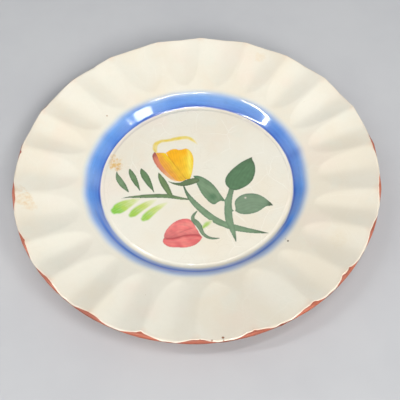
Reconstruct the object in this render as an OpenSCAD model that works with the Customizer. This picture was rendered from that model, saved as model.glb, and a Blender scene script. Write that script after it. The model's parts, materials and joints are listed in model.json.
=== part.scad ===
// Fluted earthenware plate with a painted flower spray.
// A red clay body carries a cream glaze on its face. The colours are thin
// films laid on the glaze, one solid for each brush stroke or petal.
// Z = 0 is the surface that the foot ring stands on, and Z is the plate's axis.

/* [Plate] */
// Outside diameter of the rim
plate_d = 254; // [240:1:270]
// Height of the rim's cone at its edge before the flutes are cut into it
rim_h = 28.2; // [26:0.1:29]
// Height of the glazed well floor above the table
floor_h = 8; // [7.5:0.1:9]
// Radius where the flat floor meets the slope of the well
well_r = 69; // [67:0.5:71]
// Radius where the slope meets the rim
shoulder_r = 78; // [76:0.5:80]
// Height of the shoulder between slope and rim
shoulder_h = 15.6; // [14.5:0.1:16.5]

/* [Clay body] */
// Clay thickness under the rim, measured upright
rim_wall = 4.6; // [4:0.1:5.5]
// Height of the recess inside the foot ring
recess_h = 3; // [2.5:0.1:3.5]
// Inner radius of the foot ring's bearing face
foot_in = 61.8; // [60:0.1:62]
// Outer radius of the foot ring's bearing face
foot_out = 66.4; // [65.5:0.1:67]

/* [Flutes] */
// Number of flutes round the rim
flutes = 22; // [20:1:24]
// Half angle of the cone that shapes a flute: a smaller one cuts deeper
flute_half = 28; // [27:0.5:34]
// Width of the ridge left between two flutes at the rim edge
ridge_w = 1.4; // [1.2:0.1:2.4]
// Radius where the flutes begin
flute_start = 82; // [81:0.5:86]
// Radius where the flutes reach their full depth
flute_full = 98; // [94:1:104]

/* [Glaze and paint] */
// Thickness of the cream glaze
glaze_t = 0.4; // [0.3:0.05:0.6]
// Thickness of the painted films
paint_t = 0.15; // [0.1:0.05:0.25]

/* [Hidden] */
$fn = 128;

rim_r = plate_d / 2;
rim_slope = atan((rim_h - shoulder_h) / (rim_r - shoulder_r));
apex_h = shoulder_h - shoulder_r * tan(rim_slope);   // where the rim's cone would meet the axis
arc_steps = 6;

// ---------- rounded profiles ----------
function unit(v) = v / norm(v);
function turn(a) = a > 180 ? a - 360 : a < -180 ? a + 360 : a;

// Arc of radius r that rounds the corner b between a and c.
function corner(a, b, c, r) =
    let (u = unit(a - b), v = unit(c - b), half = acos(u * v) / 2,
         m = b + unit(u + v) * r / sin(half),
         p = b + u * r / tan(half) - m, q = b + v * r / tan(half) - m,
         a0 = atan2(p.y, p.x), da = turn(atan2(q.y, q.x) - a0))
    [for (i = [0 : arc_steps]) m + r * [cos(a0 + da * i / arc_steps), sin(a0 + da * i / arc_steps)]];

// Face of the plate from axis to rim, lifted by d along its own normal: the
// floor's corner is hollow and the shoulder is round, so their radii change by d.
slope_a = atan((shoulder_h - floor_h) / (shoulder_r - well_r));
function face(d, reach = 0) =
    let (c0 = [0, floor_h + d],
         c1 = [well_r - d * tan(slope_a / 2), floor_h + d],
         c2 = [shoulder_r - d * tan((slope_a + rim_slope) / 2), shoulder_h + d],
         e = rim_r + reach,
         c3 = [e, rim_h + reach * tan(rim_slope) + d / cos(rim_slope)])
    concat([c0], corner(c0, c1, c2, 7 - d), corner(c1, c2, c3, 10 + d), [c3]);

function rev(v) = [for (i = [len(v) - 1 : -1 : 0]) v[i]];
function part(v, a, b) = [for (i = [a : b]) v[i]];

// Underside from the rim's lower corner in to the axis, with the turned foot ring.
function underside() =
    let (low = rim_h - glaze_t - rim_wall,
         wall = [rim_r, low + 6], edge = [rim_r, low],
         neck = [shoulder_r + 1.5, shoulder_h - glaze_t - 4.6],
         root = [foot_out + 2.2, floor_h - glaze_t - 3.6],
         heel = [foot_out + 0.7, 0.7])
    concat(corner(wall, edge, neck, 1.6), corner(edge, neck, root, 8), corner(neck, root, heel, 1.2),
           [heel, [foot_out, 0], [foot_in, 0], [foot_in - 0.7, 0.7]],
           corner([foot_in - 0.7, 0.7], [foot_in - 1.4, recess_h], [0, recess_h], 1.2),
           [[0, recess_h]]);

// ---------- flutes ----------
// Each flute is the lower strip of a cone with its point near the apex of the
// rim's own cone, so it grows with the sector that it fills. The strip's near
// end ramps up out of the clay, which rounds the flute's inner end. A narrow
// ridge stays between two flutes, so no two cutters touch.
tip = 2;                                             // the cone's point lies this far out from the rim's apex
sector = 360 / flutes;
edge_a = sector / 2 - asin(ridge_w / 2 / rim_r);     // where a flute runs out, from its middle
lean = let (a = cos(rim_slope) * cos(edge_a), b = sin(rim_slope))
    atan2(b, a) + acos(cos(flute_half) / norm([a, b]));
valley_slope = lean - flute_half;                    // slope of a flute's lowest line
spread = asin(cos(rim_slope) * sin(sector / 2 - 0.1) / sin(flute_half));
function along(l, lift, grow) =
    [l * sin(flute_half) - (lift - grow) * cos(flute_half), l * cos(flute_half) + (lift - grow) * sin(flute_half)];

module flute(grow) {
    k = 1 / cos(rim_slope);
    low = [along(flute_start * k - tip, 3.2, grow),
           along((flute_start + 3) * k - tip, 1.35, grow),
           along((flute_start + flute_full) / 2 * k - tip, 0.35, grow),
           along(flute_full * k - tip, 0, grow),
           along((rim_r + 6) * k - tip, 0, grow)];
    translate([tip * cos(rim_slope), 0, apex_h + tip * sin(rim_slope)])
        rotate([0, 90 - lean, 0])
            rotate([0, 0, -spread])
                rotate_extrude(angle = 2 * spread)
                    polygon(concat(low, [low[4] - [10, 0], low[0] - [7, 0]]));
}
module all_flutes(grow) {
    for (i = [0 : flutes - 1]) rotate([0, 0, (i + 0.82) * sector]) flute(grow);
}

// ---------- plate ----------
module clay_body() {
    color([0.72, 0.36, 0.24])
        difference() {
            rotate_extrude() polygon(concat(face(-glaze_t), underside()));
            all_flutes(glaze_t);
        }
}

// The glaze is what is left of a fluted blank above the clay's own face. The
// face is carried 3 mm past the rim here, so that it cuts the blank cleanly.
module cream_glaze() {
    color([0.93, 0.90, 0.82])
        difference() {
            difference() {
                rotate_extrude() polygon(concat(face(0), rev(face(-glaze_t - 2.8))));
                all_flutes(0);
            }
            difference() {
                rotate_extrude() polygon(concat(face(-glaze_t, 3), [[rim_r + 3, 1], [0, 1]]));
                all_flutes(glaze_t);
            }
        }
}

// The band fills the slope, from the hollow corner to the middle of the shoulder.
band_from = 1 + 2;
band_to = 1 + arc_steps + 1 + 4;
module blue_band() {
    color([0.27, 0.42, 0.83])
        rotate_extrude()
            polygon(concat(part(face(0), band_from, band_to), rev(part(face(paint_t), band_from, band_to))));
}

// ---------- brush work ----------
// A smooth line through the points p, which may hold a width beside x and y.
function cat(a, b, c, d, t) =
    0.5 * (2 * b + (c - a) * t + (2 * a - 5 * b + 4 * c - d) * t * t + (3 * b - a - 3 * c + d) * t * t * t);
function smooth(p, n = 4) =
    let (m = len(p) - 1)
    concat([for (i = [0 : m - 1], j = [0 : n - 1])
                cat(i == 0 ? 2 * p[0] - p[1] : p[i - 1], p[i], p[i + 1],
                    i == m - 1 ? 2 * p[m] - p[m - 1] : p[i + 2], j / n)],
           [p[m]]);

// One stroke of the brush: [x, y, width] along its middle.
module stroke(p) {
    s = smooth(p);
    m = len(s) - 1;
    side = [for (i = [0 : m])
        let (a = s[max(i - 1, 0)], b = s[min(i + 1, m)], t = unit([b.x - a.x, b.y - a.y]))
        [-t.y, t.x] * max(s[i].z, 0.2) / 2];
    polygon(concat([for (i = [0 : m]) [s[i].x, s[i].y] + side[i]],
                   [for (i = [m : -1 : 0]) [s[i].x, s[i].y] - side[i]]));
}
// A filled shape: each side is smooth, and the sides meet at corners.
module fill(sides) {
    polygon([for (k = [0 : len(sides) - 1]) let (s = smooth(sides[k])) for (i = [0 : len(s) - 2]) s[i]]);
}

module tulip_middle_2d() { fill([[[-22, 26.6], [-19, 28], [-15.5, 29.6], [-11.5, 28.6], [-7.5, 29.6], [-4, 27.6], [-2, 23], [-1.4, 17], [-2.4, 9], [-4.4, 1.5]],
                                 [[-4.4, 1.5], [-8.5, 1.6]],
                                 [[-8.5, 1.6], [-10.5, 6.5], [-14.5, 13], [-18.5, 19.5], [-22, 26.6]]]); }
module tulip_left_2d() { fill([[[-30, 27], [-26, 26.8], [-22, 26.6]],
                               [[-22, 26.6], [-18.5, 19.5], [-14.5, 13], [-10.5, 6.5], [-8.5, 1.6]],
                               [[-8.5, 1.6], [-12, 0.2], [-15.5, 1]],
                               [[-15.5, 1], [-20, 6], [-25, 13], [-28.5, 20], [-30, 27]]]); }
module tulip_side_2d() { stroke([[-29.8, 27.4, 1.2], [-29.8, 24, 4.4], [-27.8, 19, 5], [-24.6, 12.8, 4.2], [-20.6, 7, 3], [-15.6, 1.2, 1]]); }
module tulip_crown_2d() { stroke([[-29.6, 28, 3.8], [-30, 31.5, 5], [-29, 35.4, 4.8], [-25.5, 37.8, 4.2], [-19, 38.6, 3.8], [-12, 40, 4], [-6.5, 39.8, 4.2], [-2, 37.2, 3.6], [2, 33.2, 1.6]]); }
module tulip_cup_2d() { stroke([[-20.4, 0.2, 0.4], [-16, -1.6, 1.8], [-12, -2.2, 3.6], [-7, -1.4, 5.8], [-2.5, -0.6, 5.4], [0.6, 0, 4.2]]); }
module main_stem_2d() { stroke([[-9.3, -3.5, 1.6], [-7.6, -9, 2.4], [-5.2, -14.5, 3.6], [-2, -19.5, 4.6], [2.5, -24.8, 5.4], [7.8, -30.2, 5.8], [13, -34.4, 5.4], [18, -37.4, 5.2], [24, -40, 5.2], [32, -42.4, 4.4], [40, -44.6, 2.8], [48, -46, 0.4]]); }
module branch_stem_2d() { stroke([[24.8, -7, 3.8], [23.6, -13, 5], [21.9, -20.5, 5.8], [21.3, -28, 6], [21.4, -34, 5.4], [22.4, -40.5, 4.4], [23.8, -46.5, 2.6], [25, -52.5, 0.4]]); }
module upper_leaf_2d() { fill([[[23, -7.6], [20.8, -4], [20.9, 0.5], [22.8, 5.4], [26.6, 10.4], [31.6, 14.2], [37, 17.2], [42.4, 19.4]],
                               [[42.4, 19.4], [42.4, 16], [43.6, 11], [43, 5], [41, -1], [38, -5], [33, -8], [27.4, -9.8], [23, -7.6]]]); }
module right_leaf_2d() { fill([[[25.6, -27.4], [26.6, -24], [26.4, -20.4], [28, -16.6], [31, -14], [35, -12.9], [40, -13], [45, -15], [49, -18], [51.6, -21], [53, -24.2]],
                               [[53, -24.2], [48, -25], [44, -27], [40, -29], [35, -30], [30, -29.8], [27.6, -28.6], [25.6, -27.4]]]); }
module middle_leaf_2d() { fill([[[-2.2, 4.6], [3, 4], [8, 0.6], [12, -4], [15.4, -10], [18.8, -17.4]],
                                [[18.8, -17.4], [14.6, -19], [11.6, -20.4], [8.8, -19.2], [5, -15.4], [2, -10], [0, -4.6], [-0.6, 0], [-2.2, 4.6]]]); }
module fern_stem_2d() { stroke([[-56, -12.2, 0.3], [-48, -11, 1.6], [-40, -10.8, 3], [-33, -10.9, 3.6], [-26, -11.6, 3.6], [-18, -13, 3.4], [-11, -14.8, 2.6], [-4.6, -15.8, 1.6]]); }
module fern_1_2d() { stroke([[-57.8, 11.6, 0.8], [-56.8, 7, 3.8], [-54.3, 2.2, 4.8], [-51.4, -2.4, 3.6], [-48.9, -6, 1.4]]); }
module fern_2_2d() { stroke([[-48.2, 13.8, 0.8], [-47, 9.4, 4], [-44.8, 4.6, 4.8], [-42.6, 0, 3.2], [-40.6, -5.4, 1.2]]); }
module fern_3_2d() { stroke([[-40, 13.4, 0.8], [-38.6, 9, 4.6], [-35.8, 3.6, 5.6], [-33, -2.4, 3.6], [-30.7, -8, 1.2]]); }
module fern_4_2d() { stroke([[-26.8, 8.8, 0.8], [-25.6, 4.4, 4], [-22.8, -1.6, 5], [-20, -7, 4], [-17.4, -12.2, 2.8]]); }
module pale_1_2d() { stroke([[-59.4, -21, 3], [-57.4, -20.4, 7], [-53.4, -18.6, 9], [-48, -16, 6.6], [-42, -13.4, 3]]); }
module pale_2_2d() { stroke([[-47, -26, 2], [-45, -24.8, 5], [-40.6, -21, 5.4], [-35, -17.4, 4.6], [-29.6, -15, 2]]); }
module pale_3_2d() { stroke([[-39, -30, 2], [-37, -28.4, 5], [-32.6, -24.4, 5.4], [-27.4, -20.4, 4.2], [-22, -17.4, 2]]); }
module bud_upper_2d() { fill([[[-24, -43.8], [-22.4, -39.4], [-18.4, -34.6], [-13.4, -31.8], [-9, -31], [-5.6, -33], [-3, -37], [-0.6, -41], [1.2, -45]],
                              [[1.2, -45], [-5, -44.6], [-10, -44.7], [-15, -45.9], [-20, -46.6], [-24, -43.8]]]); }
module bud_lower_2d() { fill([[[-24, -43.8], [-20, -46.6], [-15, -45.9], [-10, -44.7], [-5, -44.6], [1.2, -45]],
                              [[1.2, -45], [2.4, -46.4], [0.2, -50.4], [-4, -53], [-11, -53.7], [-19, -53.1], [-23.6, -51], [-25, -47.8], [-24, -43.8]]]); }
module bud_calyx_2d() { stroke([[-0.4, -25.4, 0.8], [-2.8, -28.4, 2.6], [-3.2, -32.2, 3], [-1, -36, 4.6], [1, -40, 3.4], [2.6, -43.8, 2.6], [5.6, -46.6, 2.4], [9.6, -47.9, 1.8], [15.6, -47.7, 0.3]]); }
module bud_sprig_2d() { stroke([[3.6, -39, 1.4], [5, -36.8, 3.2], [7, -34.8, 3.4], [9.4, -33.2, 1.8]]); }

// A film of paint on the floor. Its children after the first are strokes that
// were laid over it, so it stops at their edges.
module film(c) {
    color(c) translate([0, 0, floor_h]) linear_extrude(paint_t)
        difference() { children(0); if ($children > 1) children([1 : $children - 1]); }
}
green = [0.30, 0.46, 0.33];
deep_green = [0.24, 0.43, 0.28];
pale_green = [0.62, 0.78, 0.34];

module tulip_middle_petal() { film([0.96, 0.70, 0.08]) { tulip_middle_2d(); tulip_cup_2d(); middle_leaf_2d(); } }
module tulip_left_petal() { film([0.90, 0.62, 0.16]) { tulip_left_2d(); tulip_side_2d(); tulip_cup_2d(); } }
module tulip_side_petal() { film([0.87, 0.47, 0.35]) { tulip_side_2d(); tulip_cup_2d(); } }
module tulip_crown_line() { film([0.90, 0.80, 0.28]) { tulip_crown_2d(); tulip_side_2d(); tulip_left_2d(); } }
module tulip_cup() { film(deep_green) { tulip_cup_2d(); middle_leaf_2d(); } }
module main_stem() { film(green) { main_stem_2d(); tulip_cup_2d(); branch_stem_2d(); } }
module branch_stem() { film(green) { branch_stem_2d(); upper_leaf_2d(); middle_leaf_2d(); } }
module upper_leaf() { film(deep_green) upper_leaf_2d(); }
module right_leaf() { film(green) { right_leaf_2d(); branch_stem_2d(); } }
module middle_leaf() { film(green) middle_leaf_2d(); }
module fern_stem() { film(deep_green) { fern_stem_2d(); main_stem_2d(); fern_3_2d(); fern_4_2d(); } }
module fern_leaflet_1() { film(deep_green) fern_1_2d(); }
module fern_leaflet_2() { film(deep_green) fern_2_2d(); }
module fern_leaflet_3() { film(deep_green) fern_3_2d(); }
module fern_leaflet_4() { film(deep_green) fern_4_2d(); }
module pale_leaflet_1() { film(pale_green) { pale_1_2d(); fern_stem_2d(); } }
module pale_leaflet_2() { film(pale_green) { pale_2_2d(); fern_stem_2d(); } }
module pale_leaflet_3() { film(pale_green) { pale_3_2d(); fern_stem_2d(); } }
module bud_upper_petal() { film([0.85, 0.36, 0.36]) { bud_upper_2d(); bud_calyx_2d(); } }
module bud_lower_petal() { film([0.83, 0.33, 0.34]) { bud_lower_2d(); bud_calyx_2d(); } }
module bud_calyx() { film(deep_green) { bud_calyx_2d(); main_stem_2d(); } }
module bud_sprig() { film(pale_green) { bud_sprig_2d(); main_stem_2d(); bud_calyx_2d(); } }

clay_body();
cream_glaze();
blue_band();
tulip_middle_petal();
tulip_left_petal();
tulip_side_petal();
tulip_crown_line();
tulip_cup();
main_stem();
branch_stem();
upper_leaf();
right_leaf();
middle_leaf();
fern_stem();
fern_leaflet_1();
fern_leaflet_2();
fern_leaflet_3();
fern_leaflet_4();
pale_leaflet_1();
pale_leaflet_2();
pale_leaflet_3();
bud_upper_petal();
bud_lower_petal();
bud_calyx();
bud_sprig();
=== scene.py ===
import bpy
import json
import math
import numpy as np
from mathutils import Matrix, Vector, geometry


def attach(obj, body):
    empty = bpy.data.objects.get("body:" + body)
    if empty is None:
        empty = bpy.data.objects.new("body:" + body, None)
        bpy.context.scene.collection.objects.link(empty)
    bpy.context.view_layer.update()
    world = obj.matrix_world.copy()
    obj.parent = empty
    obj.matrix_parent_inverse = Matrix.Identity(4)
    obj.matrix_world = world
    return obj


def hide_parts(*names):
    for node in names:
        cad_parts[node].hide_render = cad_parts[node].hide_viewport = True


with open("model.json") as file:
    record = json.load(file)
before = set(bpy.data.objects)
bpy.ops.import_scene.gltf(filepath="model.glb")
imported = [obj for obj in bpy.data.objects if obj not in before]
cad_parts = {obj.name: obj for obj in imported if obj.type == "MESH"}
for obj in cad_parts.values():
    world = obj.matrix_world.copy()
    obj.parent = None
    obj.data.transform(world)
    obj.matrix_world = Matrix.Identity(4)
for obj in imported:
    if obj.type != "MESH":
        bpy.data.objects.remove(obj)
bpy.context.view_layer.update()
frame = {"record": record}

MM = 0.001


rng = np.random.default_rng(7)

# ------------------------------------------------------------------ noise in code
_waves = {}


def noise2(x, y, wavelength, seed):
    """Smooth noise of about -1 to 1 from a few plane waves, in mm."""
    key = (wavelength, seed)
    if key not in _waves:
        r = np.random.default_rng(seed)
        n = 9
        a = r.uniform(0, 2 * np.pi, n)
        k = 2 * np.pi / (wavelength * r.uniform(0.7, 1.6, n))
        _waves[key] = (k * np.cos(a), k * np.sin(a), r.uniform(0, 2 * np.pi, n))
    kx, ky, p = _waves[key]
    x, y = np.asarray(x, float), np.asarray(y, float)
    s = np.zeros(np.broadcast(x, y).shape)
    for i in range(len(p)):
        s = s + np.sin(kx[i] * x + ky[i] * y + p[i])
    return s / 3.4


def ring_noise(th, lowest, highest, seed):
    """Smooth noise of about -1 to 1 round the plate, made of whole waves."""
    r = np.random.default_rng(seed)
    ks = np.arange(lowest, highest + 1)
    amp = r.normal(0, 1, len(ks))
    ph = r.uniform(0, 2 * np.pi, len(ks))
    s = sum(a * np.sin(k * th + p) for k, a, p in zip(ks, amp, ph))
    return s / (1.6 * math.sqrt(len(ks)))


def smoothstep(a, b, x):
    t = np.clip((x - a) / (b - a), 0, 1)
    return t * t * (3 - 2 * t)


def softplus(x, k):
    x = np.asarray(x, float)
    return np.where(x / k > 30, x, k * np.log1p(np.exp(np.minimum(x / k, 30))))


# ------------------------------------------------------------------ plate profile (mm)
RIM_R, RIM_H, FLOOR, WELL_R, SHO_R, SHO_H = 127.0, 28.2, 8.0, 69.0, 78.0, 15.6
GLAZE = 0.4
RS = math.atan((RIM_H - SHO_H) / (RIM_R - SHO_R))
SL = math.atan((SHO_H - FLOOR) / (SHO_R - WELL_R))


def corner(a, b, c, r, n=14):
    a, b, c = (np.array(v, float) for v in (a, b, c))
    u, v = (a - b) / np.linalg.norm(a - b), (c - b) / np.linalg.norm(c - b)
    half = math.acos(float(u @ v)) / 2
    m = b + (u + v) / np.linalg.norm(u + v) * r / math.sin(half)
    p, q = b + u * r / math.tan(half) - m, b + v * r / math.tan(half) - m
    a0 = math.atan2(p[1], p[0])
    da = (math.atan2(q[1], q[0]) - a0 + math.pi) % (2 * math.pi) - math.pi
    return [tuple(m + r * np.array([math.cos(a0 + da * i / n), math.sin(a0 + da * i / n)])) for i in range(n + 1)]


_f = [(0.0, FLOOR)] + corner((0, FLOOR), (WELL_R, FLOOR), (SHO_R, SHO_H), 7) \
    + corner((WELL_R, FLOOR), (SHO_R, SHO_H), (RIM_R, RIM_H), 10) \
    + [(RIM_R + 8, RIM_H + 8 * math.tan(RS))]
FR, FZ = np.array([p[0] for p in _f]), np.array([p[1] for p in _f])


def face_z(r):
    return np.interp(r, FR, FZ)


def face_slope(r):
    return (face_z(r + 0.3) - face_z(r - 0.3)) / 0.6


# Ridges between the flutes, in degrees round the plate: hand-made, so not quite even.
RIDGES = np.array([5, 21, 36.5, 53, 69, 86, 102, 120, 136.5, 153.5, 168.5, 187, 206, 221, 237.5, 253, 268, 284, 301.5, 316, 332.5, 347.5])
N_FL = len(RIDGES)
fl_depth = 2.2 + rng.uniform(-0.22, 0.22, N_FL)
fl_start = rng.uniform(-1.6, 1.8, N_FL)
fl_twist = rng.uniform(-0.10, 0.10, N_FL)


def flute(r, th):
    """How far a flute lies under the rim's cone, its position across (-1 to 1) and its number."""
    d = np.degrees(th) % 360
    nxt = np.append(RIDGES[1:], RIDGES[0] + 360)
    j = (np.searchsorted(RIDGES, d, side="right") - 1) % N_FL
    dd = np.where(d < RIDGES[0], d + 360, d)
    a, b = RIDGES[j], nxt[j]
    x = (dd - (a + b) / 2) / ((b - a) / 2)
    x = x + fl_twist[j] * (1 - x * x) * 0.6
    # Two nearly flat sides, a rounded bottom and a fairly crisp ridge.
    v = (np.sqrt(x * x + 0.04) - 0.2) / 0.8198
    s = softplus(1 - v ** 1.08 - 0.05, 0.03)
    full = 1.38 * fl_depth[j] * np.maximum(r - 40, 20) / (RIM_R - 40)
    lift = 1.75 * np.exp(-np.maximum(r - 82.5 - fl_start[j], -4) / 8.5)
    # The flutes run out towards the rim's edge, most on the far side.
    out = (0.34 + 0.16 * np.sin(th)) * smoothstep(108, RIM_R, r)
    return softplus(full * s - lift, 0.06) * smoothstep(77, 84, r) * (1 - out), x, j


def warp(r, th):
    """Slight unevenness of a hand-made plate."""
    x, y = r * np.cos(th), r * np.sin(th)
    rim = (np.clip(r / RIM_R, 0, 1)) ** 3
    w = rim * (0.28 * np.sin(2 * th + 0.7) + 0.16 * np.sin(3 * th + 2.1) + 0.10 * ring_noise(th, 9, 24, 31))
    w = w + 0.10 * noise2(x, y, 46, 3) * np.clip(r / 10, 0, 1)
    w = w + 0.035 * np.sin(2 * np.pi * (r + 1.2 * np.cos(th)) / 11.5) * smoothstep(6, 14, r) * smoothstep(66, 58, r)
    return w


def top(r, th):
    return face_z(r) - flute(r, th)[0] + warp(r, th)


# ------------------------------------------------------------------ meshes
def new_object(name, co, faces, smooth=True, crease=None):
    me = bpy.data.meshes.new(name)
    co = np.asarray(co, float) * MM
    faces = [np.asarray(f, np.int32) for f in faces]
    me.vertices.add(len(co))
    me.vertices.foreach_set("co", co.astype(np.float32).ravel())
    loops = np.concatenate([f.ravel() for f in faces])
    sizes = np.concatenate([np.full(len(f), f.shape[1], np.int32) for f in faces])
    me.loops.add(len(loops))
    me.loops.foreach_set("vertex_index", loops.astype(np.int32))
    me.polygons.add(len(sizes))
    me.polygons.foreach_set("loop_start", np.concatenate([[0], np.cumsum(sizes)[:-1]]).astype(np.int32))
    me.polygons.foreach_set("use_smooth", np.full(len(sizes), smooth))
    me.update(calc_edges=True)
    me.validate()
    if crease is not None:
        # These edges split the shading, so that a film's skirt doesn't tilt the normals of its face.
        ev = np.empty(len(me.edges) * 2, np.int32)
        me.edges.foreach_get("vertices", ev)
        ev = np.sort(ev.reshape(-1, 2), 1).astype(np.int64)
        cr = np.sort(np.asarray(crease, np.int64), 1)
        me.edges.foreach_set("use_edge_sharp", np.isin(ev[:, 0] * len(co) + ev[:, 1], cr[:, 0] * len(co) + cr[:, 1]))
    ob = bpy.data.objects.new(name, me)
    bpy.context.scene.collection.objects.link(ob)
    return ob


def attribute(ob, name, values, kind="FLOAT_VECTOR"):
    a = ob.data.attributes.new(name, kind, "POINT")
    field = {"FLOAT_VECTOR": "vector", "FLOAT_COLOR": "color", "FLOAT": "value"}[kind]
    a.data.foreach_set(field, np.asarray(values, np.float32).ravel())


def loft(name, rings, cap_first=None, cap_last=None):
    """Closed surface through rings of equal length, the rings given as (rows, columns, 3)."""
    rings = np.asarray(rings, float)
    nr, nc = rings.shape[:2]
    co = rings.reshape(-1, 3)
    i = np.arange(nr - 1)[:, None] * nc
    j = np.arange(nc)[None, :]
    k = (j + 1) % nc
    quads = np.stack([i + j, i + nc + j, i + nc + k, i + k], -1).reshape(-1, 4)
    faces = [quads]
    extra = []
    if cap_first is not None:
        c = len(co) + len(extra)
        extra.append(cap_first)
        faces.append(np.stack([np.full(nc, c), j[0], k[0]], -1))
    if cap_last is not None:
        c = len(co) + len(extra)
        extra.append(cap_last)
        b = (nr - 1) * nc
        faces.append(np.stack([np.full(nc, c), b + k[0], b + j[0]], -1))
    if extra:
        co = np.vstack([co, np.array(extra, float)])
    return new_object(name, co, faces), co


NC = 704
TH = np.linspace(0, 2 * np.pi, NC, endpoint=False)
COS, SIN = np.cos(TH), np.sin(TH)


def ring(r, z):
    r = np.broadcast_to(r, TH.shape)
    return np.stack([r * COS, r * SIN, np.broadcast_to(z, TH.shape)], -1)


# Section of the clay at the rim: the top, an edge rounded by EDGE_R, and the wall.
_, X_FL, _ = flute(np.full(NC, 126.0), TH)
VALLEY = np.clip(1 - X_FL ** 2, 0, 1)
WALL_R = 126.62 + 0.10 * ring_noise(TH, 3, 14, 41) + 0.05 * ring_noise(TH, 30, 80, 42) - 0.12 * VALLEY
EDGE_R = 0.75 + 0.35 * VALLEY + 0.08 * ring_noise(TH, 12, 60, 43)
# Small nicks in the rim's edge, as angle, width and depth: they widen the rounding.
NICKS = [(127.4, 0.8, 0.5), (291.5, 0.7, 0.55), (302.5, 0.9, 0.6), (314.5, 0.6, 0.5), (284.0, 0.5, 0.35), (252.5, 1.0, 0.5), (229.0, 0.9, 0.5), (318.0, 0.5, 0.4), (171.0, 0.6, 0.4), (205.0, 0.6, 0.3), (358.5, 0.6, 0.35)]
NICK = np.zeros(NC)
for a, w, d in NICKS:
    off = (np.degrees(TH) - a + 180) % 360 - 180
    NICK += d * np.exp(-(off / w) ** 2) * (0.8 + 0.4 * ring_noise(TH, 60, 140, int(a)))
EDGE_R = EDGE_R + 0.9 * np.clip(NICK, 0, 1)


def clay_top(r):
    rr = np.broadcast_to(r, TH.shape)
    return top(rr, TH) - GLAZE / np.cos(np.arctan(face_slope(rr)))


_a = np.arctan((clay_top(WALL_R) - clay_top(WALL_R - 1.5)) / 1.5)
_h = clay_top(WALL_R)
ARC_C = np.stack([WALL_R - EDGE_R, _h - EDGE_R * np.tan(_a) - EDGE_R / np.cos(_a)], -1)
ARC_R0 = ARC_C[:, 0] - EDGE_R * np.sin(_a)
ARC_L = EDGE_R * (np.pi / 2 + _a)
LOW = 23.2 + 0.12 * ring_noise(TH, 4, 20, 44)


def clay_path(s):
    """Point (r, z) and outward normal of the clay's section, s mm past the start of the rounded edge, for each column."""
    s = np.broadcast_to(s, TH.shape)
    rt = ARC_R0 + np.minimum(s, 0)
    zt = clay_top(rt)
    at = np.arctan((clay_top(rt + 0.2) - clay_top(rt - 0.2)) / 0.4)
    ph = np.pi / 2 + _a - np.clip(s, 0, ARC_L) / EDGE_R
    over = np.maximum(s - ARC_L, 0)
    onarc = s > 0
    r = np.where(onarc, ARC_C[:, 0] + EDGE_R * np.cos(ph), rt)
    z = np.where(onarc, ARC_C[:, 1] + EDGE_R * np.sin(ph) - over, zt)
    nr = np.where(onarc, np.cos(ph), -np.sin(at))
    nz = np.where(onarc, np.sin(ph), np.cos(at))
    return r, z, nr, nz


# How far the glaze runs over the edge: it hangs in lobes between the ridges and draws back to cusps at them.
HANG = smoothstep(0.0, 1.0, np.clip((1 - np.abs(X_FL)) / 0.85, 0, 1))
S_END = -0.70 + (ARC_L * 0.92 + 0.35) * HANG + 0.30 * ring_noise(TH, 5, 30, 51) + 0.14 * ring_noise(TH, 40, 130, 52)
# On the far side the glaze covers the ridges too.
S_END = S_END + (1 - HANG) * 1.3 * smoothstep(-0.05, 0.35, SIN)
S_END = S_END - 1.5 * np.clip(NICK, 0, 1.1)
S_END = np.clip(S_END, -2.2, ARC_L + (ARC_C[:, 1] - LOW) - 1.3)

# Radii of the glaze's rows, shared by the blue band so that the band lies on it.
ROWS_WELL = np.concatenate([[2.5], np.arange(6, 62, 3.5), [63.0, 64.0, 65.0]])
ROWS_BAND = np.arange(65.6, 84.01, 0.6)
ROWS_RIM = np.concatenate([np.arange(84.8, 104, 1.2), np.arange(104.6, 116.9, 1.9)])

# ---- cream glaze
outer = [ring(r, top(np.full(NC, r), TH)) for r in np.concatenate([ROWS_WELL, ROWS_BAND, ROWS_RIM])]
thin = [np.zeros(NC) for _ in outer]
S0 = 117.6 - ARC_R0
ws = [0, 0.14, 0.28, 0.42, 0.55, 0.66, 0.75, 0.815, 0.865, 0.90, 0.93, 0.952, 0.968, 0.98, 0.989, 0.995, 1.0]
for w in ws:
    s = S0 + (S_END - S0) * w
    r, z, nr, nz = clay_path(s)
    left = np.maximum(S_END - s, 0)
    t = GLAZE * (0.80 + 0.20 * VALLEY) * np.sqrt(np.clip(left / 0.55, 0, 1)) * (1 + 0.18 * np.exp(-((left - 0.6) / 0.4) ** 2))
    t = np.where(w == 0, GLAZE, t)
    if w < 0.7:
        t = GLAZE + (t - GLAZE) * w / 0.7
    outer.append(ring(r + nr * t, z + nz * t))
    thin.append(np.exp(-left / 0.9) * (w > 0.5) + 0.75 * smoothstep(0.75, 1.0, np.abs(X_FL)) * smoothstep(0.2, 0.95, w))
for w in (0.985, 0.8, 0.3):
    r, z, nr, nz = clay_path(S0 + (S_END - S0) * w)
    outer.append(ring(r - nr * 0.12, z - nz * 0.12))
    thin.append(np.zeros(NC))
for r in (112, 100, 90, 84, 80, 77, 74, 71, 68, 64, 40, 8):
    outer.append(ring(r, clay_top(r) - 0.12))
    thin.append(np.zeros(NC))
glaze, co = loft("cream_glaze_coat", outer, cap_first=(0, 0, float(outer[0][:, 2].mean())), cap_last=(0, 0, float(outer[-1][:, 2].mean())))
attribute(glaze, "thin", np.concatenate([np.concatenate(thin), [0, 0]]), "FLOAT")

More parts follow.
